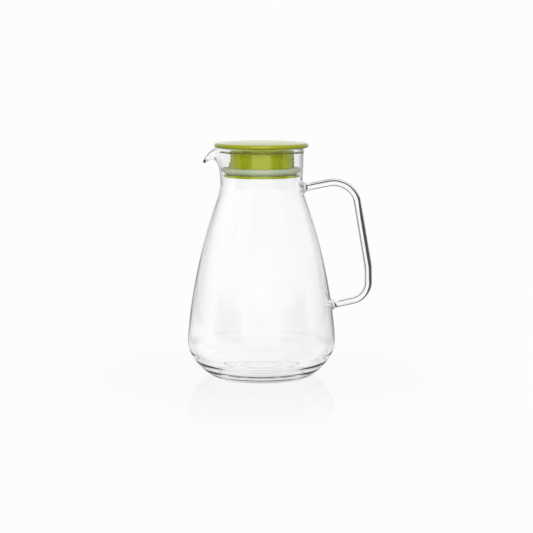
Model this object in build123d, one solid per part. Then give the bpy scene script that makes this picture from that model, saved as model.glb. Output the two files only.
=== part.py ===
# Two-litre glass jug with a pulled spout, a glass rod handle and a push-in plastic lid.
# Millimetres, +Z up.  The origin is the centre of the foot ring, the spout points to -X
# and the handle to +X.

from math import cos, pi, radians, sin
import os

from build123d import *

# Vessel, outside.  The foot ring stands on the surface, and each height adds to the one below.
foot_radius = 49.3
foot_run_out = 4.4
foot_ring_width = 5.0
belly_radius = 75.85
belly_height = 35.0
belly_drop = 18.6
belly_rise = 12.0
taper_height = 147.8
taper_angle = 19.6
taper_run = 75.0
shoulder_radius = 45.1
shoulder_rise = 15.2
neck_bend = 5.0
neck_radius = 42.1
neck_length = 35.5
rim_radius = 43.45
rim_flare = 2.6

shoulder_height = belly_height + taper_height
neck_height = shoulder_height + shoulder_rise
rim_height = neck_height + neck_length

# Glass thickness, and the raised middle of the base.
wall = 2.4
base_thickness = 3.2
base_recess = 0.6
inner_floor_radius = 46.6
punt_radius = 25.0
punt_blend = 5.0
punt_rise = 2.0

# Spout, pulled out of the rim.  The beak's lip lies below the rim and points down.
spout_half_angle = 34.0
spout_reach = 14.05
spout_fall = 15.2
spout_droop = 33.0
spout_fall_power = 2.4
spout_sections = 13
seam_tolerance = 0.01
neck_handle = 6.0
spout_root_handle = 22.0
spout_lip_handle = 12.5
lip_outer_gain = 0.42

# Handle, one bent glass rod whose two ends are melted on to the vessel.
rod_radius = 4.0
handle_top_rise = 10.0
handle_arm_reach = 51.3
handle_arm_rise = 10.1
handle_grip_reach = 67.1
handle_grip_length = 90.9
handle_foot_rise = 37.0
handle_heel_rise = 8.4
handle_heel_reach = 67.4
handle_bend_radii = [25.2, 60.0, 19.8]
weld_radius = 6.0
weld_length = 7.5
weld_toe = 1.25
weld_step = 0.5
weld_run = 3.75

# Lid.  The cap is a domed disc over a hollow sleeve, and the seal sits on the sleeve's flange.
cap_overhang = 4.55
cap_clearance = 0.3
cap_edge = 4.7
cap_dome = 1.5
cap_plate = 2.6
cap_brow = 16.0
cap_flat = 16.0
socket_depth = 1.2
socket_width = 1.8
socket_clearance = 0.1
sleeve_radius = 33.3
sleeve_wall = 2.0
plug_depth = 29.1
flange_overhang = 5.1
flange_thickness = 2.4
flange_fillet = 0.5

cap_radius = rim_radius + cap_overhang
cap_foot = rim_height + cap_clearance
cap_roof = cap_foot + cap_edge - cap_plate
sleeve_bore = sleeve_radius - sleeve_wall
sleeve_top = cap_roof + socket_depth
flange_height = rim_height - plug_depth

# Seal, a soft ring with one outward lip that wipes the inside of the neck.
seal_height = 6.6
seal_clearance = 0.3
seal_gap = 0.25
seal_foot_height = 0.8
seal_foot_width = 2.2
seal_shelf = 0.8
seal_belly = 2.4
seal_lip = 1.4

seal_bore = sleeve_radius + seal_clearance
seal_foot = flange_height + flange_thickness + seal_clearance
seal_top = seal_foot + seal_height

# Openings in the sleeve: one window towards the spout, a strainer towards the handle.
window_width = 24.0
window_height = 11.0
window_drop = 3.5
window_corner = 2.0
slot_height = 1.6
slot_corner = 0.7
slot_pitch = 3.2
slot_rows = 3
slot_sill = 1.4
slot_angles = [-12.5, 12.5]
slot_span = 22.0

window_top = rim_height - window_drop
slot_foot = seal_top + slot_sill


def bezier_at(poles, t):
    """Point of a cubic curve, as (radius, height)."""
    weights = ((1 - t) ** 3, 3 * t * (1 - t) ** 2, 3 * t**2 * (1 - t), t**3)
    return tuple(sum(w * pole[i] for w, pole in zip(weights, poles)) for i in (0, 1))


def body_poles(inset):
    """Bowl, taper and neck bend as three cubic curves, set inwards by the wall."""
    lean = radians(taper_angle)
    slope = (-sin(lean), cos(lean))
    belly = (belly_radius - inset, belly_height)
    shoulder = (shoulder_radius - inset * cos(lean), shoulder_height - inset * sin(lean))
    neck = (neck_radius - inset, neck_height)
    if inset:
        floor = (inner_floor_radius, base_thickness)
    else:
        floor = (foot_radius, 0)
    bowl = [
        floor,
        (floor[0] + foot_run_out, floor[1]),
        (belly[0], belly_height - belly_drop),
        belly,
    ]
    taper = [
        belly,
        (belly[0], belly_height + belly_rise),
        (shoulder[0] - taper_run * slope[0], shoulder[1] - taper_run * slope[1]),
        shoulder,
    ]
    bend = [
        shoulder,
        (shoulder[0] + neck_bend * slope[0], shoulder[1] + neck_bend * slope[1]),
        (neck[0], neck_height - neck_bend),
        neck,
    ]
    return bowl, taper, bend


def curve_radius(poles, height):
    """Radius of a rising curve at a height, by halving."""
    low, high = 0.0, 1.0
    for _ in range(40):
        middle = (low + high) / 2
        if bezier_at(poles, middle)[1] < height:
            low = middle
        else:
            high = middle
    return bezier_at(poles, low)[0]


def outside_radius(height):
    """Outer radius of the vessel between the belly and the neck."""
    bowl, taper, bend = body_poles(0)
    return curve_radius(taper if height < shoulder_height else bend, height)


def lip_poles(pull):
    """Outer and inner curve of the wall above the neck.

    pull is 0 at the plain rim and 1 at the middle of the spout.
    """
    half_wall = wall / 2
    plain_end = (rim_radius, rim_height - half_wall)
    end = (
        plain_end[0] + spout_reach * pull,
        plain_end[1] - (spout_fall - half_wall) * pull**spout_fall_power,
    )
    plain_angle = 90 - rim_flare
    turn = radians((plain_angle + spout_droop) * pull)
    angle = radians(plain_angle) - turn
    along = (cos(angle), sin(angle))
    inward = (-sin(angle), cos(angle))
    root_handle = neck_handle + (spout_root_handle - neck_handle) * pull
    end_handle = neck_handle + (spout_lip_handle - neck_handle) * pull
    curves = []
    for inset, gain in ((0, 0), (wall, lip_outer_gain * wall * turn)):
        start = (neck_radius - inset, neck_height)
        stop = (end[0] + inset * inward[0], end[1] + inset * inward[1])
        curves.append(
            [
                start,
                (start[0], start[1] + root_handle + gain),
                (
                    stop[0] - (end_handle + gain) * along[0],
                    stop[1] - (end_handle + gain) * along[1],
                ),
                stop,
            ]
        )
    tip = (
        end[0] + half_wall * (inward[0] + along[0]),
        end[1] + half_wall * (inward[1] + along[1]),
    )
    return curves[0], tip, curves[1]


def place(point, angle=0.0):
    """Point of a half section, turned about the jug's axis by an angle in degrees."""
    turn = radians(angle)
    return Vector(point[0] * cos(turn), point[0] * sin(turn), point[1])


def lip_section(pull, angle):
    """Closed section of the wall above the neck."""
    outer, tip, inner = lip_poles(pull)
    return make_face(
        [
            Bezier(*[place(p, angle) for p in outer]),
            ThreePointArc(place(outer[3], angle), place(tip, angle), place(inner[3], angle)),
            Bezier(*[place(p, angle) for p in reversed(inner)]),
            Line(place(inner[0], angle), place(outer[0], angle)),
        ]
    )


def neck_bore(height):
    """Inner radius of the plain neck."""
    return curve_radius(lip_poles(0)[2], height)


def step_up(start, stop):
    """Soft step between two levels of the base."""
    reach = (stop[0] - start[0]) / 2
    return Bezier(
        place(start),
        place((start[0] + reach, start[1])),
        place((stop[0] - reach, stop[1])),
        place(stop),
    )


def vessel_section():
    """Half section of the base, side and shoulder, up to the start of the neck."""
    outer = body_poles(0)
    inner = body_poles(wall)
    punt = (punt_radius + punt_blend / 2, punt_radius - punt_blend / 2)
    ring_radius = foot_radius - foot_ring_width
    under = (base_recess + punt_rise, base_recess)
    floor = (base_thickness + punt_rise, base_thickness)
    edges = [
        Line(place((0, floor[0])), place((0, under[0]))),
        Line(place((0, under[0])), place((punt[1], under[0]))),
        step_up((punt[1], under[0]), (punt[0], under[1])),
        Line(place((punt[0], under[1])), place((ring_radius - base_recess, under[1]))),
        Line(place((ring_radius - base_recess, under[1])), place((ring_radius, 0))),
        Line(place((ring_radius, 0)), place((foot_radius, 0))),
    ]
    edges += [Bezier(*[place(p) for p in poles]) for poles in outer]
    edges.append(Line(place(outer[2][3]), place(inner[2][3])))
    edges += [Bezier(*[place(p) for p in reversed(poles)]) for poles in reversed(inner)]
    edges += [
        Line(place((inner_floor_radius, floor[1])), place((punt[0], floor[1]))),
        step_up((punt[0], floor[1]), (punt[1], floor[0])),
        Line(place((punt[1], floor[0])), place((0, floor[0]))),
    ]
    return make_face(edges)


def spout():
    """Sector of the neck whose rim is drawn out and bent over into a beak."""
    sections = []
    for i in range(spout_sections):
        share = 2 * i / (spout_sections - 1) - 1
        pull = (1 + cos(pi * share)) / 2
        sections.append(lip_section(pull, 180 + spout_half_angle * share))
    return loft(sections)


def glass_body():
    vessel = revolve(vessel_section(), Axis.Z, 360)
    collar = revolve(
        lip_section(0, 180 + spout_half_angle), Axis.Z, 360 - 2 * spout_half_angle
    )
    return vessel.solid().fuse(collar.solid(), spout().solid(), tol=seam_tolerance)


def handle_path():
    """Centre line of the rod, from the vessel's shoulder round to its side."""
    top_height = shoulder_height + handle_top_rise
    foot_height = belly_height + handle_foot_rise
    top = (outside_radius(top_height), top_height)
    foot = (outside_radius(foot_height), foot_height)
    corners = [
        top,
        (top[0] + handle_arm_reach, top[1] + handle_arm_rise),
        (top[0] + handle_grip_reach, top[1] + handle_arm_rise - handle_grip_length),
        (top[0] + handle_heel_reach, foot[1] + handle_heel_rise),
        foot,
    ]
    return FilletPolyline(*[place(p) for p in corners], radius=handle_bend_radii)


def weld_flare(path, end):
    """Trumpet where one end of the rod is melted on to the glass."""
    origin = path @ end
    outward = (path % end) * (1 if end == 0 else -1)
    plane = Plane(origin=origin, x_dir=(0, 1, 0), z_dir=outward)
    section = make_face(
        [
            Line((0, 0, -weld_length), (weld_radius, 0, -weld_length)),
            Line((weld_radius, 0, -weld_length), (weld_radius, 0, 0)),
            Bezier(
                (weld_radius, 0, 0),
                (rod_radius + weld_step, 0, weld_toe),
                (rod_radius, 0, weld_run),
                (rod_radius, 0, weld_length),
            ),
            Line((rod_radius, 0, weld_length), (0, 0, weld_length)),
            Line((0, 0, weld_length), (0, 0, -weld_length)),
        ]
    )
    return plane * revolve(section, Axis.Z, 360)


def glass_handle():
    path = handle_path()
    rod = sweep(Plane(origin=path @ 0, z_dir=path % 0) * Circle(rod_radius), path)
    rod = rod + weld_flare(path, 0) + weld_flare(path, 1)
    side = [*body_poles(0), lip_poles(0)[0]]
    crown = side[-1][3]
    solid_vessel = revolve(
        make_face(
            [Bezier(*[place(p) for p in poles]) for poles in side]
            + [Polyline(*[place(p) for p in
                          [crown, (0, crown[1]), (0, 0), (foot_radius, 0)]])]
        ),
        Axis.Z,
        360,
    )
    return rod - solid_vessel


def ring(inner, outer, foot, top):
    """Plain ring about the jug's axis."""
    return revolve(
        make_face(Polyline(*[place(p) for p in
                             [(inner, foot), (outer, foot), (outer, top), (inner, top)]],
                           close=True)),
        Axis.Z,
        360,
    )


def lid_cap():
    """Disc with a full round edge, hollow underneath, with a socket for the sleeve."""
    shoulder = cap_foot + cap_edge
    crown = shoulder + cap_dome
    edge = cap_edge / 2
    lip = cap_radius - cap_edge
    recess = lip - (cap_roof - cap_foot)
    outline = make_face(
        [
            Line(place((0, crown)), place((0, cap_roof))),
            Line(place((0, cap_roof)), place((recess, cap_roof))),
            Line(place((recess, cap_roof)), place((lip, cap_foot))),
            Line(place((lip, cap_foot)), place((cap_radius - edge, cap_foot))),
            ThreePointArc(
                place((cap_radius - edge, cap_foot)),
                place((cap_radius, cap_foot + edge)),
                place((cap_radius - edge, shoulder)),
            ),
            Bezier(
                place((cap_radius - edge, shoulder)),
                place((cap_radius - edge - cap_brow, crown)),
                place((cap_flat, crown)),
                place((0, crown)),
            ),
        ]
    )
    disc = revolve(outline, Axis.Z, 360)
    collar = ring(sleeve_bore - socket_width, sleeve_radius + socket_width, cap_foot, cap_roof)
    groove = ring(
        sleeve_bore - socket_clearance,
        sleeve_radius + socket_clearance,
        cap_foot,
        sleeve_top,
    )
    return disc + collar - groove


def radial_slot(angle, width, foot, top, corner):
    """Cutter through one side of the sleeve, with rounded corners."""
    block = Box(2 * sleeve_wall + sleeve_radius, width, top - foot)
    block = fillet(block.edges().filter_by(Axis.X), corner)
    middle = Pos(sleeve_radius, 0, (foot + top) / 2) * block
    return Rot(0, 0, angle) * middle


def lid_sleeve():
    """Hollow plug with a flange at its foot, a pour window and a strainer."""
    tube = ring(sleeve_bore, sleeve_radius, flange_height, sleeve_top)
    flange_radius = sleeve_radius + flange_overhang
    flange = ring(sleeve_bore, flange_radius, flange_height, flange_height + flange_thickness)
    flange = fillet(
        flange.edges().filter_by(GeomType.CIRCLE).group_by(SortBy.RADIUS)[-1], flange_fillet
    )
    window_foot = window_top - window_height
    cuts = [radial_slot(180, window_width, window_foot, window_top, window_corner)]
    slot_width = 2 * sleeve_radius * sin(radians(slot_span / 2))
    for angle in slot_angles:
        for row in range(slot_rows):
            foot = slot_foot + row * slot_pitch
            cuts.append(radial_slot(angle, slot_width, foot, foot + slot_height, slot_corner))
    return tube + flange - cuts


def lid_gasket():
    """Soft ring: a foot on the flange, a flat top and a lip that bellies out to the neck."""
    root = seal_bore + seal_foot_width
    shelf = seal_foot + seal_foot_height
    lip_foot = seal_top - seal_lip
    seal_radius = neck_bore(lip_foot) - seal_gap
    crest = seal_lip * (1 - cos(radians(45)))
    return revolve(
        make_face(
            [
                Line(place((seal_bore, seal_foot)), place((root, seal_foot))),
                Line(place((root, seal_foot)), place((root, shelf))),
                Line(place((root, shelf)), place((root + seal_shelf, shelf))),
                Bezier(
                    place((root + seal_shelf, shelf)),
                    place((seal_radius - seal_shelf, shelf + seal_belly / 2)),
                    place((seal_radius, lip_foot - seal_belly)),
                    place((seal_radius, lip_foot)),
                ),
                ThreePointArc(
                    place((seal_radius, lip_foot)),
                    place((seal_radius - crest, seal_top - crest)),
                    place((seal_radius - seal_lip, seal_top)),
                ),
                Line(place((seal_radius - seal_lip, seal_top)), place((seal_bore, seal_top))),
                Line(place((seal_bore, seal_top)), place((seal_bore, seal_foot))),
            ]
        ),
        Axis.Z,
        360,
    )


nodes = {
    "glass_body": glass_body,
    "glass_handle": glass_handle,
    "lid_cap": lid_cap,
    "lid_sleeve": lid_sleeve,
    "lid_gasket": lid_gasket,
}

os.makedirs("parts", exist_ok=True)
for name, build in nodes.items():
    export_step(build(), f"parts/{name}.step")
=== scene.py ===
# Looks of a two-litre glass jug with a rod handle and a green push-in lid.
# The jug's sizes are in millimetres and repeat the solids' driving dimensions, apart from the few
# that are said to be the scene's own; MM turns them into metres.  The studio's are in metres.

from bisect import bisect
from math import ceil, cos, hypot, pi, radians, sin, tan

import bpy
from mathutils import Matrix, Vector


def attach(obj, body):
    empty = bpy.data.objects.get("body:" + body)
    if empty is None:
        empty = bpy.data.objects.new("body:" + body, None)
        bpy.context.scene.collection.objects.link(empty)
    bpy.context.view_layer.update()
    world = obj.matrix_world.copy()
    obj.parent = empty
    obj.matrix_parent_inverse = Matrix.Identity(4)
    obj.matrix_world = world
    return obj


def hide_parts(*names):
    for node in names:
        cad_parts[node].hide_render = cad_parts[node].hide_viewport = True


MM = 0.001

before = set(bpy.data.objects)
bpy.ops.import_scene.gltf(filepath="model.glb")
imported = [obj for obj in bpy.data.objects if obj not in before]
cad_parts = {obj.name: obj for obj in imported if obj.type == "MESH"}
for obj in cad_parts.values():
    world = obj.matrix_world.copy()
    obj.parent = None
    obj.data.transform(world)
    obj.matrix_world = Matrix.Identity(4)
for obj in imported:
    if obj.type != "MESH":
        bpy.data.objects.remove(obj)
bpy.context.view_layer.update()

# Vessel
FOOT_RADIUS = 49.3
FOOT_RUN_OUT = 4.4
FOOT_RING_WIDTH = 5.0
BELLY_RADIUS = 75.85
BELLY_HEIGHT = 35.0
BELLY_DROP = 18.6
BELLY_RISE = 12.0
SHOULDER_HEIGHT = 182.8
SHOULDER_RADIUS = 45.1
TAPER_ANGLE = 19.6
TAPER_RUN = 75.0
NECK_RADIUS = 42.1
NECK_HEIGHT = 198.0
NECK_BEND = 5.0
RIM_RADIUS = 43.45
RIM_HEIGHT = 233.5
RIM_FLARE = 2.6
WALL = 2.4
BASE_RECESS = 0.6
PUNT_RADIUS = 25.0

# Inside of the vessel and the base, the scene's own: the photo's edge lines ask for thinner glass
NECK_WALL = 1.7
SHOULDER_WALL = 1.8
BELLY_WALL = 1.3
HEEL_RUN_OUT = 4.3
HEEL_DROP = 18.0
HEEL_RIPPLE = 0.2
HEEL_RIPPLES = 5.0
HEEL_SLANT = 0.7
BASE_THICKNESS = 2.6
INNER_FLOOR_RADIUS = 48.4
PUNT_BLEND = 10.0
PUNT_RISE = 0.9
FOOT_EDGE = 1.0

# Spout
SPOUT_HALF_ANGLE = 34.0
SPOUT_REACH = 14.05
SPOUT_FALL = 15.2
SPOUT_DROOP = 33.0
SPOUT_FALL_POWER = 2.4
NECK_HANDLE = 6.0
SPOUT_ROOT_HANDLE = 22.0
SPOUT_LIP_HANDLE = 12.5
LIP_OUTER_GAIN = 0.42

# Bead of the rim, the scene's own
BEAD_SWELL = 0.5
BEAD_LENGTH = 3.4

# Handle
ROD_RADIUS = 4.0
HANDLE_TOP_RISE = 10.0
HANDLE_ARM_REACH = 51.3
HANDLE_ARM_RISE = 10.1
HANDLE_GRIP_REACH = 67.1
HANDLE_GRIP_LENGTH = 90.9
HANDLE_FOOT_HEIGHT = 72.0
HANDLE_HEEL_RISE = 8.4
HANDLE_HEEL_REACH = 67.4
HANDLE_BENDS = (25.2, 60.0, 19.8)
WELD_RADIUS = 6.0
WELD_LENGTH = 7.5
WELD_TOE = 1.25
WELD_STEP = 0.5
WELD_RUN = 3.75
WELD_GAP = 0.02

# Mesh density
TURN_STEPS = 288
BOWL_STEPS = 40
INNER_BOWL_STEPS = 48
TAPER_STEPS = 60
BEND_STEPS = 16
LIP_STEPS = 40
TIP_STEPS = 10
FLAT_STEPS = 8
PUNT_STEPS = 12
PUNT_FLAT_STEPS = 6
FOOT_STEPS = 3
FOOT_EDGE_STEPS = 2
PROFILE_STEPS = (240, 60)
ROD_SIDES = 48
ROD_STEP = 0.7
WELD_RINGS = (0.75, 0.5, 0.25)
SEAT_HALVINGS = 24
WELD_HALVINGS = 20


def bezier(poles, t):
    """Point of a cubic curve, as (radius, height)."""
    weights = ((1 - t) ** 3, 3 * t * (1 - t) ** 2, 3 * t**2 * (1 - t), t**3)
    return tuple(sum(w * pole[i] for w, pole in zip(weights, poles)) for i in (0, 1))


def along(poles, steps):
    """Points of a cubic curve, without its last one."""
    return [bezier(poles, i / steps) for i in range(steps)]


def straight(start, stop, steps):
    """Points of a straight stretch, without its last one."""
    return [
        (start[0] + (stop[0] - start[0]) * i / steps, start[1] + (stop[1] - start[1]) * i / steps)
        for i in range(steps)
    ]


def body_poles(inside):
    """Bowl, taper and neck bend as three cubic curves; the glass is thin at the belly."""
    lean = radians(TAPER_ANGLE)
    slope = (-sin(lean), cos(lean))
    inset = SHOULDER_WALL * inside
    belly = (BELLY_RADIUS - BELLY_WALL * inside, BELLY_HEIGHT)
    shoulder = (SHOULDER_RADIUS - inset * cos(lean), SHOULDER_HEIGHT - inset * sin(lean))
    neck = (NECK_RADIUS - NECK_WALL * inside, NECK_HEIGHT)
    floor = (INNER_FLOOR_RADIUS, BASE_THICKNESS) if inside else (FOOT_RADIUS, 0.0)
    run_out, drop = (HEEL_RUN_OUT, HEEL_DROP) if inside else (FOOT_RUN_OUT, BELLY_DROP)
    bowl = [floor, (floor[0] + run_out, floor[1]), (belly[0], BELLY_HEIGHT - drop), belly]
    taper = [
        belly,
        (belly[0], BELLY_HEIGHT + BELLY_RISE),
        (shoulder[0] - TAPER_RUN * slope[0], shoulder[1] - TAPER_RUN * slope[1]),
        shoulder,
    ]
    bend = [
        shoulder,
        (shoulder[0] + NECK_BEND * slope[0], shoulder[1] + NECK_BEND * slope[1]),
        (neck[0], NECK_HEIGHT - NECK_BEND),
        neck,
    ]
    return bowl, taper, bend


def lip_poles(pull):
    """Outer and inner curve of the wall above the neck; pull is 1 in the middle of the spout."""
    half_wall = WALL / 2
    plain_end = (RIM_RADIUS, RIM_HEIGHT - half_wall)
    end = (
        plain_end[0] + SPOUT_REACH * pull,
        plain_end[1] - (SPOUT_FALL - half_wall) * pull**SPOUT_FALL_POWER,
    )
    turn = radians((90 - RIM_FLARE + SPOUT_DROOP) * pull)
    angle = radians(90 - RIM_FLARE) - turn
    forward = (cos(angle), sin(angle))
    inward = (-sin(angle), cos(angle))
    root_handle = NECK_HANDLE + (SPOUT_ROOT_HANDLE - NECK_HANDLE) * pull
    end_handle = NECK_HANDLE + (SPOUT_LIP_HANDLE - NECK_HANDLE) * pull
    curves = []
    for inset, neck_inset, gain in ((0, 0, 0), (WALL, NECK_WALL, LIP_OUTER_GAIN * WALL * turn)):
        start = (NECK_RADIUS - neck_inset, NECK_HEIGHT)
        stop = (end[0] + inset * inward[0], end[1] + inset * inward[1])
        reach = end_handle + gain
        curves.append(
            [
                start,
                (start[0], start[1] + root_handle + gain),
                (stop[0] - reach * forward[0], stop[1] - reach * forward[1]),
                stop,
            ]
        )
    return curves[0], curves[1], forward


def beaded(points, end, forward, side):
    """Lip curve whose last stretch swells to one side into the rim's fire-polished bead."""
    out = []
    for r, z in points:
        left = hypot(end[0] - r, end[1] - z)
        swell = BEAD_SWELL * (1 + cos(pi * min(1.0, left / BEAD_LENGTH) ** 2)) / 2
        back = swell * max(0.0, 1 - left / BEAD_LENGTH)
        out.append(
            (
                r + side * swell * forward[1] - back * forward[0],
                z - side * swell * forward[0] - back * forward[1],
            )
        )
    return out


def wall_section(pull):
    """Half section of the vessel's wall, from the middle underneath round to the middle inside."""
    outer = body_poles(0)
    inner = body_poles(1)
    lip_outer, lip_inner, forward = lip_poles(pull)
    punt = (PUNT_RADIUS - PUNT_BLEND / 2, PUNT_RADIUS + PUNT_BLEND / 2)
    ring = FOOT_RADIUS - FOOT_RING_WIDTH
    under = (BASE_RECESS + PUNT_RISE, BASE_RECESS)
    floor = (BASE_THICKNESS + PUNT_RISE, BASE_THICKNESS)
    points = []
    points += straight((0, under[0]), (punt[0], under[0]), PUNT_FLAT_STEPS)[1:]
    points += along(step(punt[0], under[0], punt[1], under[1]), PUNT_STEPS)
    points += straight((punt[1], under[1]), (ring - FOOT_EDGE, under[1]), FLAT_STEPS)
    points += along(step(ring - FOOT_EDGE, under[1], ring + FOOT_EDGE, 0), FLAT_STEPS)
    points += straight((ring + FOOT_EDGE, 0), (FOOT_RADIUS - FOOT_EDGE, 0), FOOT_STEPS)
    points += straight((FOOT_RADIUS - FOOT_EDGE, 0), (FOOT_RADIUS, 0), FOOT_EDGE_STEPS)
    points += along(outer[0], BOWL_STEPS)
    points += along(outer[1], TAPER_STEPS)
    points += along(outer[2], BEND_STEPS)
    lip_out = beaded(along(lip_outer, LIP_STEPS) + [lip_outer[3]], lip_outer[3], forward, 1)
    lip_in = beaded(along(lip_inner, LIP_STEPS) + [lip_inner[3]], lip_inner[3], forward, -1)
    points += lip_out[:-1]
    points += tip_arc(lip_out[-1], lip_in[-1], forward)
    points += lip_in[:0:-1]
    points += along(inner[2][::-1], BEND_STEPS)
    points += along(inner[1][::-1], TAPER_STEPS)
    points += rippled(along(inner[0][::-1], INNER_BOWL_STEPS))
    points += straight((INNER_FLOOR_RADIUS, floor[1]), (punt[1], floor[1]), FLAT_STEPS)
    points += along(step(punt[1], floor[1], punt[0], floor[0]), PUNT_STEPS)
    points += straight((punt[0], floor[0]), (0, floor[0]), PUNT_FLAT_STEPS)
    return points, (0, under[0]), (0, floor[0])


def rippled(points):
    """Inner side of the bowl, a little uneven where the thick glass of the heel settled."""
    last = len(points)
    out = []
    for i, (r, z) in enumerate(points):
        share = i / last
        swing = HEEL_RIPPLE * sin(2 * pi * HEEL_RIPPLES * share) * sin(pi * share) ** 2
        out.append((r - HEEL_SLANT * swing, z + HEEL_SLANT * swing))
    return out


def step(r0, z0, r1, z1):
    """Poles of a soft step between two levels."""
    half = (r1 - r0) / 2
    return [(r0, z0), (r0 + half, z0), (r1 - half, z1), (r1, z1)]


def tip_arc(start, stop, forward):
    """Half circle round the end of the wall, without its last point."""
    middle = ((start[0] + stop[0]) / 2, (start[1] + stop[1]) / 2)
    radius = hypot(stop[0] - start[0], stop[1] - start[1]) / 2
    side = ((start[0] - middle[0]) / radius, (start[1] - middle[1]) / radius)
    arc = []
    for i in range(TIP_STEPS):
        angle = pi * i / TIP_STEPS
        arc.append(
            tuple(
                middle[k] + radius * (cos(angle) * side[k] + sin(angle) * forward[k])
                for k in (0, 1)
            )
        )
    return arc


def new_object(name, points, faces):
    """Smooth mesh object from points in millimetres."""
    mesh = bpy.data.meshes.new(name)
    mesh.from_pydata([[c * MM for c in p] for p in points], [], faces)
    mesh.validate()
    mesh.update()
    mesh.shade_smooth()
    obj = bpy.data.objects.new(name, mesh)
    bpy.context.scene.collection.objects.link(obj)
    return obj


def spout_pull(azimuth):
    """How far the rim is drawn out at an azimuth, from 0 to 1; the spout's middle is at 180."""
    off = abs(azimuth % 360 - 180) / SPOUT_HALF_ANGLE
    return (1 + cos(pi * off)) / 2 if off < 1 else 0.0


def build_vessel():
    """Closed wall of the vessel, one half section for each step of the turn."""
    points, faces = [], []
    for k in range(TURN_STEPS):
        azimuth = 360 * k / TURN_STEPS
        section, low, high = wall_section(spout_pull(azimuth))
        turn = radians(azimuth)
        points += [(r * cos(turn), r * sin(turn), z) for r, z in section]
    count = len(section)
    for k in range(TURN_STEPS):
        a, b = k * count, (k + 1) % TURN_STEPS * count
        for i in range(count - 1):
            faces.append((a + i, b + i, b + i + 1, a + i + 1))
    middle_low = len(points)
    points += [(0, 0, low[1]), (0, 0, high[1])]
    for k in range(TURN_STEPS):
        a, b = k * count, (k + 1) % TURN_STEPS * count
        faces.append((middle_low, b, a))
        faces.append((middle_low + 1, a + count - 1, b + count - 1))
    return new_object("jug_vessel", points, faces)


def side_profile():
    """Outer side above the belly as rows of (height, radius)."""
    _, taper, bend = body_poles(0)
    rows = along(taper, PROFILE_STEPS[0]) + along(bend, PROFILE_STEPS[1]) + [bend[3]]
    return [(z, r) for r, z in rows]


SIDE = side_profile()


def side_radius(height):
    """Outer radius of the vessel's side at a height."""
    i = min(max(bisect(SIDE, (height, 0.0)), 1), len(SIDE) - 1)
    (z0, r0), (z1, r1) = SIDE[i - 1], SIDE[i]
    return r0 + (r1 - r0) * (height - z0) / (z1 - z0)


def handle_corners():
    """Corners of the rod's centre line, as (x, z) points."""
    top_height = SHOULDER_HEIGHT + HANDLE_TOP_RISE
    top = Vector((side_radius(top_height), top_height))
    foot = Vector((side_radius(HANDLE_FOOT_HEIGHT), HANDLE_FOOT_HEIGHT))
    return [
        top,
        top + Vector((HANDLE_ARM_REACH, HANDLE_ARM_RISE)),
        top + Vector((HANDLE_GRIP_REACH, HANDLE_ARM_RISE - HANDLE_GRIP_LENGTH)),
        Vector((top.x + HANDLE_HEEL_REACH, foot.y + HANDLE_HEEL_RISE)),
        foot,
    ]


def handle_line():
    """Centre line of the rod: straight runs joined by round bends, in short steps."""
    corners = handle_corners()
    line = [corners[0]]
    for before, corner, after, radius in zip(corners, corners[1:], corners[2:], HANDLE_BENDS):
        inbound = (corner - before).normalized()
        outbound = (after - corner).normalized()
        turn = inbound.angle(outbound)
        centre = corner + (outbound - inbound).normalized() * radius / cos(turn / 2)
        spoke = corner - inbound * radius * tan(turn / 2) - centre
        way = -1 if inbound.x * outbound.y < inbound.y * outbound.x else 1
        steps = ceil(turn * radius / ROD_STEP)
        for i in range(steps + 1):
            a = way * turn * i / steps
            swung = (spoke.x * cos(a) - spoke.y * sin(a), spoke.x * sin(a) + spoke.y * cos(a))
            line.append(centre + Vector(swung))
    line.append(corners[-1])
    fine = [line[0]]
    for a, b in zip(line, line[1:]):
        pieces = ceil((b - a).length / ROD_STEP)
        fine += [a.lerp(b, (i + 1) / pieces) for i in range(pieces)]
    return fine


def seat_offset(point, away):
    """How far along a direction the vessel's side lies from a point."""
    low, high = -WELD_LENGTH, WELD_LENGTH
    for _ in range(SEAT_HALVINGS):
        middle = (low + high) / 2
        p = point + away * middle
        if hypot(p.x, p.y) > side_radius(p.z) + WELD_GAP:
            high = middle
        else:
            low = middle
    return high


def weld_radius(distance):
    """Radius of the rod at a distance from its melted end."""
    if distance >= WELD_LENGTH:
        return ROD_RADIUS
    low, high = 0.0, 1.0
    poles = [
        (WELD_RADIUS, 0.0),
        (ROD_RADIUS + WELD_STEP, WELD_TOE),
        (ROD_RADIUS, WELD_RUN),
        (ROD_RADIUS, WELD_LENGTH),
    ]
    for _ in range(WELD_HALVINGS):
        middle = (low + high) / 2
        if bezier(poles, middle)[1] < distance:
            low = middle
        else:
            high = middle
    return bezier(poles, low)[0]


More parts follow.
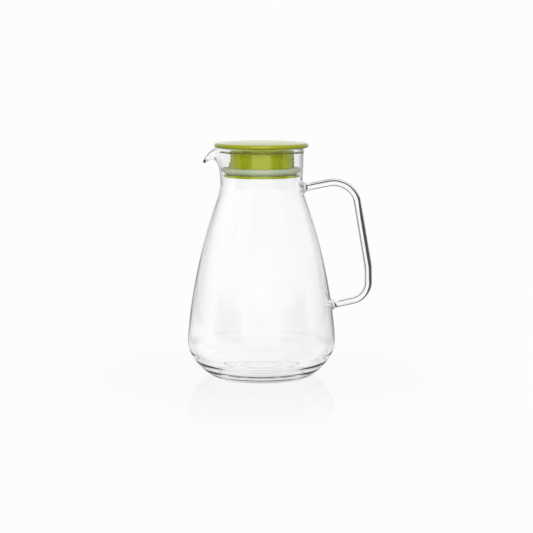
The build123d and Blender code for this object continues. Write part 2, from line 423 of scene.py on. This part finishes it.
def build_handle():
    """Glass rod whose flared ends lie on the vessel's side."""
    line = handle_line()
    reach = [0.0]
    for a, b in zip(line, line[1:]):
        reach.append(reach[-1] + (b - a).length)
    across = Vector((0, 1, 0))
    turns = [2 * pi * j / ROD_SIDES for j in range(ROD_SIDES)]
    last = len(line) - 1
    frames = []
    for i, p in enumerate(line):
        t = (line[min(last, i + 1)] - line[max(0, i - 1)]).normalized()
        tangent = Vector((t.x, 0, t.y))
        frames.append((Vector((p.x, 0, p.y)), tangent, tangent.cross(across)))

    points, faces = [], []
    offsets = {}
    for near_top in (True, False):
        centre, tangent, normal = frames[0 if near_top else last]
        away = tangent if near_top else -tangent
        for j, a in enumerate(turns):
            spoke = (across * cos(a) + normal * sin(a)) * WELD_RADIUS
            offsets[near_top, j] = seat_offset(centre + spoke, away)
    for (centre, tangent, normal), s in zip(frames, reach):
        near_top = s < reach[-1] / 2
        distance = s if near_top else reach[-1] - s
        away = tangent if near_top else -tangent
        share = max(0.0, 1 - distance / WELD_LENGTH) ** 2
        radius = weld_radius(distance)
        for j, a in enumerate(turns):
            spoke = (across * cos(a) + normal * sin(a)) * radius
            points.append(centre + spoke + away * offsets[near_top, j] * share)
    for i in range(last):
        for j in range(ROD_SIDES):
            k = (j + 1) % ROD_SIDES
            a, b = i * ROD_SIDES, (i + 1) * ROD_SIDES
            faces.append((a + j, a + k, b + k, b + j))
    for near_top in (True, False):
        centre, tangent, normal = frames[0 if near_top else last]
        away = tangent if near_top else -tangent
        edge = [(0 if near_top else last * ROD_SIDES) + j for j in range(ROD_SIDES)]
        for share in WELD_RINGS:
            fresh = []
            for a in turns:
                q = centre + (across * cos(a) + normal * sin(a)) * WELD_RADIUS * share
                fresh.append(len(points))
                points.append(q + away * seat_offset(q, away))
            for j in range(ROD_SIDES):
                k = (j + 1) % ROD_SIDES
                quad = (edge[j], edge[k], fresh[k], fresh[j])
                faces.append(quad[::-1] if near_top else quad)
            edge = fresh
        points.append(centre + away * seat_offset(centre, away))
        for j in range(ROD_SIDES):
            tri = (edge[j], edge[(j + 1) % ROD_SIDES], len(points) - 1)
            faces.append(tri[::-1] if near_top else tri)
    return new_object("jug_handle", points, faces)


# Materials.  Noise is given by its scale and its detail.
GLASS_IOR = 1.47
GLASS_COLOR = (0.995, 1.0, 0.998, 1)
GLASS_WAVES = (22.0, 1.0)
GLASS_BUMP = 0.05
GLASS_BUMP_DEPTH = 0.0006
GLASS_SHADOW = (0.95, 0.95, 0.95, 1)
GLASS_ABSORPTION = (0.7, 0.72, 0.715, 1)
GLASS_DENSITY = 3.0

CLOUD = (60.0, 3.0)
FLOW = (90.0, 4.0)
GRAIN = (2600.0, 2.0)
CLOUD_SHADES = (0.93, 1.07)
ROUGHNESS_SWING = (0.7, 1.3)
FLOW_RELIEF = 0.6
PLASTIC_BUMP_DEPTH = 0.0003
SOFT_DEPTH = 0.002

CAP_COLOR = (0.33, 0.36, 0.003)
SLEEVE_COLOR = (0.36, 0.42, 0.006)
SEAL_COLOR = (0.50, 0.56, 0.39)


class Tree:
    """Short calls for building one node tree."""

    def __init__(self, owner):
        owner.use_nodes = True
        self.nodes = owner.node_tree.nodes
        self.links = owner.node_tree.links
        self.nodes.clear()

    def add(self, kind, **inputs):
        node = self.nodes.new(kind)
        for name, value in inputs.items():
            self.put(node, name.replace("_", " "), value)
        return node

    def put(self, node, name, value):
        socket = node.inputs[name]
        if isinstance(value, bpy.types.NodeSocket):
            self.links.new(value, socket)
        else:
            socket.default_value = value

    def math(self, operation, a, b=0.0):
        node = self.nodes.new("ShaderNodeMath")
        node.operation = operation
        self.put(node, 0, a)
        self.put(node, 1, b)
        return node.outputs[0]

    def noise(self, place, scale, detail):
        node = self.add("ShaderNodeTexNoise", Vector=place, Scale=scale, Detail=detail)
        return node.outputs[0]

    def ramp(self, factor, stops):
        """Grey value from a factor, through (place, value) stops."""
        node = self.nodes.new("ShaderNodeValToRGB")
        self.links.new(factor, node.inputs[0])
        points = node.color_ramp.elements
        while len(points) < len(stops):
            points.new(0.5)
        for point, (place, value) in zip(points, stops):
            point.position = place
            point.color = (value, value, value, 1)
        return node.outputs[0]

    def mix(self, factor, a, b):
        """Value between two values."""
        gain = self.math("MULTIPLY", factor, self.math("SUBTRACT", b, a))
        return self.math("ADD", a, gain)

    def between(self, value, low, high):
        """Share of the way from low to high, from 0 to 1."""
        node = self.add("ShaderNodeMapRange", Value=value)
        node.inputs["From Min"].default_value = low
        node.inputs["From Max"].default_value = high
        return node.outputs[0]

    def blend(self, factor, a, b):
        """Shader between two shaders."""
        node = self.nodes.new("ShaderNodeMixShader")
        self.put(node, 0, factor)
        self.links.new(a, node.inputs[1])
        self.links.new(b, node.inputs[2])
        return node.outputs[0]


def new_material(name):
    """Empty material and the calls that fill it."""
    mat = bpy.data.materials.new(name)
    return mat, Tree(mat)


def glass_material():
    """Clear glass with the faint unevenness of blown ware; lamps pass through it."""
    mat, t = new_material("clear_glass")
    place = t.add("ShaderNodeNewGeometry").outputs["Position"]
    waves = t.noise(place, *GLASS_WAVES)
    bump = t.add("ShaderNodeBump", Strength=GLASS_BUMP, Distance=GLASS_BUMP_DEPTH, Height=waves)
    glass = t.add(
        "ShaderNodeBsdfPrincipled",
        Base_Color=GLASS_COLOR,
        Roughness=0.0,
        IOR=GLASS_IOR,
        Transmission_Weight=1.0,
        Normal=bump.outputs[0],
    )
    clear = t.add("ShaderNodeBsdfTransparent", Color=GLASS_SHADOW)
    shadow = t.add("ShaderNodeLightPath").outputs["Is Shadow Ray"]
    out = t.add("ShaderNodeOutputMaterial")
    t.put(out, "Surface", t.blend(shadow, glass.outputs[0], clear.outputs[0]))
    absorb = t.add("ShaderNodeVolumeAbsorption", Color=GLASS_ABSORPTION, Density=GLASS_DENSITY)
    t.put(out, "Volume", absorb.outputs[0])
    return mat


def plastic_material(name, color, roughness, tint, level, ior, stretch, grain, soft=0.0):
    """Moulded plastic: cloudy colour, flow marks drawn out by stretch, and fine surface grain.

    tint and level shape its reflection, and soft is how much light goes through its surface.
    """
    mat, t = new_material(name)
    place = t.add("ShaderNodeTexCoord").outputs["Object"]
    drawn = t.nodes.new("ShaderNodeMapping")
    t.links.new(place, drawn.inputs[0])
    drawn.inputs["Scale"].default_value = stretch
    cloud = t.noise(place, *CLOUD)
    flow = t.noise(drawn.outputs[0], *FLOW)
    fine = t.noise(place, *GRAIN)
    shade = t.mix(cloud, *CLOUD_SHADES)
    tone = t.nodes.new("ShaderNodeVectorMath")
    tone.operation = "SCALE"
    tone.inputs[0].default_value = color
    t.links.new(shade, tone.inputs["Scale"])
    relief = t.mix(FLOW_RELIEF, fine, flow)
    bump = t.add("ShaderNodeBump", Strength=grain, Distance=PLASTIC_BUMP_DEPTH, Height=relief)
    body = t.add(
        "ShaderNodeBsdfPrincipled",
        Base_Color=tone.outputs[0],
        Roughness=t.mix(flow, *(roughness * swing for swing in ROUGHNESS_SWING)),
        IOR=ior,
        Specular_IOR_Level=level,
        Specular_Tint=(*tint, 1),
        Normal=bump.outputs[0],
    )
    if soft:
        t.put(body, "Subsurface Weight", soft)
        t.put(body, "Subsurface Scale", SOFT_DEPTH)
    t.put(t.add("ShaderNodeOutputMaterial"), "Surface", body.outputs[0])
    return mat


glass = glass_material()
vessel = build_vessel()
vessel.data.materials.append(glass)
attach(vessel, "jug")
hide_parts("glass_body")

handle = build_handle()
handle.data.materials.append(glass)
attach(handle, "jug")
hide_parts("glass_handle")

cap_mat = plastic_material(
    "lime_cap",
    CAP_COLOR,
    roughness=0.11,
    tint=(1.0, 0.96, 0.75),
    level=0.5,
    ior=1.5,
    stretch=(1, 1, 1),
    grain=0.04,
)
sleeve_mat = plastic_material(
    "lime_sleeve",
    SLEEVE_COLOR,
    roughness=0.12,
    tint=(1.0, 0.97, 0.15),
    level=0.5,
    ior=2.0,
    stretch=(1, 1, 0.15),
    grain=0.03,
)
seal_mat = plastic_material(
    "pale_seal",
    SEAL_COLOR,
    roughness=0.38,
    tint=(1, 1, 1),
    level=0.4,
    ior=1.42,
    stretch=(0.3, 0.3, 1),
    grain=0.03,
    soft=0.5,
)
for node, mat in (("lid_cap", cap_mat), ("lid_sleeve", sleeve_mat), ("lid_gasket", seal_mat)):
    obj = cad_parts[node]
    obj.data.materials.clear()
    obj.data.materials.append(mat)

# Studio.  The camera sees plain white.  What glass sees is white with grey screens between, which
# draw its dark edges, and close to the jug a painted shadow on the floor: the brightness in
# percent at each azimuth, in degrees from straight behind the jug, by distance on the floor in
# metres, and by height above the horizon in degrees.  The brightness values aren't a design: a
# least-squares fit to the photo's grey levels made them, and 50 of the 297 were changed after it.
WHITE = (0.984, 0.980, 0.980, 1)
AZIMUTHS = [
    -180, -130, -90, -70, -50, -38, -28, -22, -17, -13, -9, -5, 0, 5, 9, 13, 17, 22, 28, 38,
    50, 70, 90, 110, 135, 157, 180,
]
# The floor rows closest to the jug are darker at some azimuths: painted shadow of the jug on the
# floor, as glass sees it, since the floor that glass sees takes no real shadow.
FLOOR_SEEN_WITH_PAINTED_SHADOW = [
    (0.03, [
        82, 93, 105, 92, 105, 105, 105, 105, 105, 105, 103, 103, 103, 103, 102, 105, 105, 105,
        105, 105, 103, 95, 85, 95, 82, 81, 87,
    ]),
    (0.075, [
        77, 90, 32, 105, 105, 105, 105, 101, 101, 103, 102, 102, 103, 102, 101, 103, 99, 96,
        97, 98, 105, 105, 58, 34, 87, 57, 85,
    ]),
    (0.15, [
        64, 105, 105, 104, 102, 105, 105, 99, 99, 100, 98, 99, 100, 100, 98, 96, 96, 95, 95,
        97, 103, 93, 83, 89, 99, 53, 62,
    ]),
    (0.3, [
        58, 98, 102, 102, 105, 99, 22, 103, 105, 98, 99, 103, 99, 102, 98, 93, 85, 65, 22, 24,
        67, 95, 76, 62, 99, 45, 60,
    ]),
    (0.57, [
        51, 83, 98, 62, 93, 69, 2, 2, 48, 88, 99, 100, 102, 96, 92, 72, 48, 2, 2, 2, 71, 98,
        87, 56, 99, 43, 58,
    ]),
    (0.85, [
        55, 89, 99, 61, 96, 89, 73, 12, 48, 88, 103, 99, 101, 94, 90, 70, 48, 12, 71, 6, 78,
        105, 90, 57, 99, 41, 57,
    ]),
    (1.2, [
        81, 88, 99, 62, 95, 87, 91, 2, 28, 85, 103, 100, 100, 93, 98, 81, 28, 2, 7, 25, 55, 98,
        94, 35, 99, 57, 83,
    ]),
    (2.0, [
        74, 80, 97, 42, 60, 53, 68, 12, 48, 88, 105, 102, 100, 90, 99, 79, 48, 12, 61, 28, 45,
        42, 97, 35, 91, 39, 74,
    ]),
]
SKY_SEEN = [
    (4, [
        76, 76, 95, 42, 50, 9, 18, 2, 15, 88, 104, 90, 90, 91, 92, 82, 15, 2, 18, 9, 45, 42,
        94, 35, 91, 46, 81,
    ]),
    (14, [
        86, 83, 102, 91, 105, 66, 24, 12, 48, 88, 92, 78, 78, 78, 89, 52, 48, 12, 24, 66, 94,
        105, 105, 76, 93, 61, 92,
    ]),
    (30, [
        80, 84, 104, 105, 105, 105, 67, 90, 105, 83, 90, 90, 105, 105, 101, 60, 70, 90, 67, 60,
        84, 99, 105, 72, 93, 64, 86,
    ]),
]

# What reflections see: the floor, and the world by share of the turn; and what glass sees high up
MIRRORED_FLOOR = 0.42
MIRRORED_SKY = [(0.0, 0.86), (0.36, 0.88), (0.44, 1.0), (0.56, 1.0), (0.64, 0.88), (1.0, 0.86)]
CEILING = 0.45
CEILING_HEIGHTS = (26.0, 36.0)

# Dark side behind the camera and the card in its middle: where each fades out, as a share of the
# turn from straight in front of the jug, and where the side begins on the floor and in the world
FRONT_SIDE = (0.20, 0.235)
FRONT_MIDDLE = (0.08, 0.092)
FRONT_RADII = (1.25, 1.7)
FRONT_HEIGHTS = (9.0, 6.0)
FRONT_CARD = 1.0
MIRRORED_CARD = 0.24
FRONT_DARK = 0.03

# Floor, and the level of light that it and the world give to matt surfaces
DIFFUSE_LEVEL = 0.5
FLOOR_DIFFUSE_LEVEL = 0.3
FLOOR_HALF = 3.0
FLOOR_DROP = 0.0002
NEAR_RADII = (0.09, 0.26)
NEAR_SHADOW = 0.07
NEAR_MIRROR = 0.18
MIRROR_ROUGHNESS = 0.04


def bearing(t, place):
    """Azimuth about the jug as a share of the turn, half straight behind it."""
    axes = t.add("ShaderNodeSeparateXYZ", Vector=place)
    angle = t.math("ARCTAN2", axes.outputs[0], axes.outputs[1])
    return t.math("ADD", t.math("DIVIDE", angle, 2 * pi), 0.5), axes.outputs[2]


def around(t, share, row):
    """Brightness by azimuth from one row of the studio's table."""
    return t.ramp(share, [(0.5 + a / 360, v / 100) for a, v in zip(AZIMUTHS, row)])


def in_front(t, share, fade):
    """1 in front of the jug and 0 behind it, with the same soft edge on either side."""
    full, none = fade
    return t.ramp(share, [(0.0, 1.0), (full, 1.0), (none, 0.0), (1 - none, 0.0), (1 - full, 1.0)])


def front_card(t, share, value, reach, card):
    """Brightness with the dark side behind the camera put in, and a pale card in its middle."""
    dark = in_front(t, share, FRONT_SIDE)
    front = t.mix(in_front(t, share, FRONT_MIDDLE), FRONT_DARK, card)
    return t.mix(t.math("MULTIPLY", reach, dark), value, front)


def through_rows(t, share, level, rows):
    """Brightness that passes from row to row as the level rises."""
    low, first = rows[0]
    value = around(t, share, first)
    for place, row in rows[1:]:
        value = t.mix(t.between(level, low, place), value, around(t, share, row))
        low = place
    return value


def floor_material():
    """White floor that the camera sees with a faint mirror image and shadow close to the jug."""
    mat, t = new_material("floor")
    place = t.add("ShaderNodeNewGeometry").outputs["Position"]
    share, _ = bearing(t, place)
    distance = t.nodes.new("ShaderNodeVectorMath")
    distance.operation = "LENGTH"
    t.links.new(place, distance.inputs[0])
    radius = distance.outputs["Value"]
    near = t.ramp(radius, [(0.0, 1.0), (NEAR_RADII[0], 1.0), (NEAR_RADII[1], 0.0)])
    glow = t.add("ShaderNodeEmission", Color=WHITE)
    table = t.add("ShaderNodeBsdfDiffuse", Color=WHITE)
    mirror = t.add("ShaderNodeBsdfGlossy", Color=(1, 1, 1, 1), Roughness=MIRROR_ROUGHNESS)
    lit = t.blend(t.math("MULTIPLY", near, NEAR_SHADOW), glow.outputs[0], table.outputs[0])
    shown = t.blend(t.math("MULTIPLY", near, NEAR_MIRROR), lit, mirror.outputs[0])
    far = t.between(radius, *FRONT_RADII)
    seen = front_card(t, share, through_rows(t, share, radius, FLOOR_SEEN_WITH_PAINTED_SHADOW), far, FRONT_CARD)
    through = t.add("ShaderNodeEmission", Color=seen)
    plain = front_card(t, share, MIRRORED_FLOOR, far, MIRRORED_CARD)
    mirrored = t.add("ShaderNodeEmission", Color=plain)
    low = t.add("ShaderNodeEmission", Color=WHITE, Strength=FLOOR_DIFFUSE_LEVEL)
    path = t.add("ShaderNodeLightPath")
    result = t.blend(path.outputs["Is Camera Ray"], low.outputs[0], shown)
    result = t.blend(path.outputs["Is Glossy Ray"], result, mirrored.outputs[0])
    result = t.blend(path.outputs["Is Transmission Ray"], result, through.outputs[0])
    t.put(t.add("ShaderNodeOutputMaterial"), "Surface", result)
    return mat


def build_floor():
    """Square floor about the jug."""
    corners = [(-FLOOR_HALF, -FLOOR_HALF), (FLOOR_HALF, -FLOOR_HALF)]
    corners += [(FLOOR_HALF, FLOOR_HALF), (-FLOOR_HALF, FLOOR_HALF)]
    mesh = bpy.data.meshes.new("floor")
    mesh.from_pydata([(x, y, -FLOOR_DROP) for x, y in corners], [], [(0, 1, 2, 3)])
    mesh.materials.append(floor_material())
    floor = bpy.data.objects.new("floor", mesh)
    bpy.context.scene.collection.objects.link(floor)


build_floor()


def card_material(name, level):
    """Plain grey that glows at a level of its own, for the sheets that paint lines in the rod."""
    mat, t = new_material(name)
    card = t.add("ShaderNodeEmission", Color=(level, level, level, 1))
    t.put(t.add("ShaderNodeOutputMaterial"), "Surface", card.outputs[0])
    return mat


# Sheets behind the handle that only glass sees, though nothing stands there: the dark ones paint
# dark lines along the rod, and the pale one, glowing though it is no lamp, paints a highlight
# along it.
RIBBON_BACK = 14.0
PAINTED_DARK_LINE_LEVEL = 0.06
PAINTED_HIGHLIGHT_LEVEL = 0.98
painted_dark_line_card = card_material("painted_dark_line_card", PAINTED_DARK_LINE_LEVEL)
painted_highlight_card = card_material("painted_highlight_card", PAINTED_HIGHLIGHT_LEVEL)


def ribbon(name, mat, stops):
    """Ribbon behind the handle, seen only through glass, which paints a line along the rod: a dark
    ribbon paints a dark line, a pale one a painted highlight.

    Each stop is a share of the rod's length and the ribbon's two edges, in millimetres outwards
    from the rod's centre line.
    """
    line = handle_line()
    last = len(line) - 1
    points = []
    for i, p in enumerate(line):
        share = i / last
        if not stops[0][0] <= share <= stops[-1][0]:
            continue
        k = max(1, next(j for j, stop in enumerate(stops) if share <= stop[0]))
        (s0, *low), (s1, *high) = stops[k - 1], stops[k]
        w = (share - s0) / (s1 - s0)
        way = (line[min(last, i + 1)] - line[max(0, i - 1)]).normalized()
        out = Vector((-way.y, way.x))
        for a, b in zip(low, high):
            q = p + out * (a + (b - a) * w)
            points.append((q.x, RIBBON_BACK, q.y))
    quads = [(i, i + 1, i + 3, i + 2) for i in range(0, len(points) - 2, 2)]
    card = new_object(name, points, quads)
    card.data.materials.append(mat)
    card.visible_camera = False
    card.visible_diffuse = False
    card.visible_glossy = False
    card.visible_shadow = False


# Painted dark lines along the rod, and a painted highlight along it
ribbon(
    "inner_ribbon",
    painted_dark_line_card,
    [
        (0.0, 5.0, -5.0), (0.010, 4.0, -5.0), (0.018, -2.2, -4.0), (0.24, -2.0, -4.4),
        (0.36, -0.3, -6.0), (0.42, 0.3, -6.5), (0.66, 0.3, -7.0), (0.80, -0.3, -10.0),
        (0.88, -4.0, -10.0), (0.97, -4.5, -10.0), (0.988, 4.0, -5.0), (1.0, 5.0, -5.0),
    ],
)
ribbon("under_ribbon", painted_dark_line_card, [(0.04, -9.0, -12.0), (0.30, -9.0, -12.0)])
ribbon(
    "painted_highlight_ribbon",
    painted_highlight_card,
    [(0.04, -1.5, 4.2), (0.30, 0.0, 4.2), (0.42, 0.4, 4.2), (0.80, 0.4, 4.2), (0.96, 0.0, 4.2)],
)
ribbon(
    "outer_ribbon",
    painted_dark_line_card,
    [(0.04, 4.3, 6.6), (0.24, 4.3, 6.6), (0.38, 4.6, 5.8), (0.80, 4.6, 5.8), (0.96, 4.3, 6.4)],
)


def studio_world():
    """White world for the camera, with the table's screens where glass looks at it."""
    world = bpy.data.worlds.new("studio")
    bpy.context.scene.world = world
    t = Tree(world)
    share, up = bearing(t, t.add("ShaderNodeTexCoord").outputs["Generated"])
    height = t.math("MULTIPLY", t.math("ARCSINE", up), 180 / pi)
    path = t.add("ShaderNodeLightPath")
    seen = t.add("ShaderNodeBackground", Color=WHITE)
    diffuse = t.add("ShaderNodeBackground", Color=WHITE, Strength=DIFFUSE_LEVEL)
    near_floor = t.between(height, *FRONT_HEIGHTS)
    plain = front_card(t, share, t.ramp(share, MIRRORED_SKY), near_floor, MIRRORED_CARD)
    mirrored = t.add("ShaderNodeBackground", Color=plain)
    sky = through_rows(t, share, height, [(0.0, FLOOR_SEEN_WITH_PAINTED_SHADOW[-1][1])] + SKY_SEEN)
    sky = front_card(t, share, sky, near_floor, FRONT_CARD)
    sky = t.mix(t.between(height, *CEILING_HEIGHTS), sky, CEILING)
    behind = t.add("ShaderNodeBackground", Color=sky)
    result = t.blend(path.outputs["Is Camera Ray"], diffuse.outputs[0], seen.outputs[0])
    result = t.blend(path.outputs["Is Glossy Ray"], result, mirrored.outputs[0])
    result = t.blend(path.outputs["Is Transmission Ray"], result, behind.outputs[0])
    t.put(t.add("ShaderNodeOutputWorld"), "Surface", result)


studio_world()


# Lamp in front of the lid and above it
LAMP_PLACE = (0.0, -1.2, 0.74)
LAMP_TARGET = (0, 0, 0.23)
LAMP_SIZE = (1.2, 0.6)
LAMP_STRENGTH = 6.0


def softbox(name, place, target, size, strength, lit):
    """Rectangular lamp that faces a point and lights only some objects."""
    width, height = size
    lamp = bpy.data.lights.new(name, "AREA")
    lamp.shape = "RECTANGLE"
    lamp.size = width
    lamp.size_y = height
    lamp.energy = strength * width * height * pi
    obj = bpy.data.objects.new(name, lamp)
    obj.location = place
    obj.rotation_euler = (Vector(target) - Vector(place)).to_track_quat("-Z", "Y").to_euler()
    obj.visible_camera = False
    obj.visible_transmission = False
    obj.light_linking.receiver_collection = bpy.data.collections.new(name + "_lit")
    for other in lit:
        obj.light_linking.receiver_collection.objects.link(other)
    bpy.context.scene.collection.objects.link(obj)


lid = [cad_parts[name] for name in ("lid_cap", "lid_sleeve", "lid_gasket")]
softbox("front_box", LAMP_PLACE, LAMP_TARGET, LAMP_SIZE, LAMP_STRENGTH, lid)

# Light passes several walls of glass, there and back
GLASS_BOUNCES = 24
MIRROR_BOUNCES = 16
scene = bpy.context.scene
scene.cycles.max_bounces = GLASS_BOUNCES
scene.cycles.transmission_bounces = GLASS_BOUNCES
scene.cycles.glossy_bounces = MIRROR_BOUNCES

# Camera
CAMERA_X = 5.19
CAMERA_Y = -1600.0
CAMERA_Z = 330.0
CAMERA_PITCH = 7.7718
FOCAL_PIXELS = 1572.4
FRAME_PIXELS = 533.0
SENSOR = 36.0
camera_data = bpy.data.cameras.new("camera")
camera_data.sensor_width = SENSOR
camera_data.lens = FOCAL_PIXELS / FRAME_PIXELS * SENSOR
camera = bpy.data.objects.new("camera", camera_data)
camera.location = (CAMERA_X * MM, CAMERA_Y * MM, CAMERA_Z * MM)
camera.rotation_euler = (radians(90 - CAMERA_PITCH), 0, 0)
scene.collection.objects.link(camera)
bpy.context.scene.camera = camera

scene.view_settings.view_transform = "Standard"
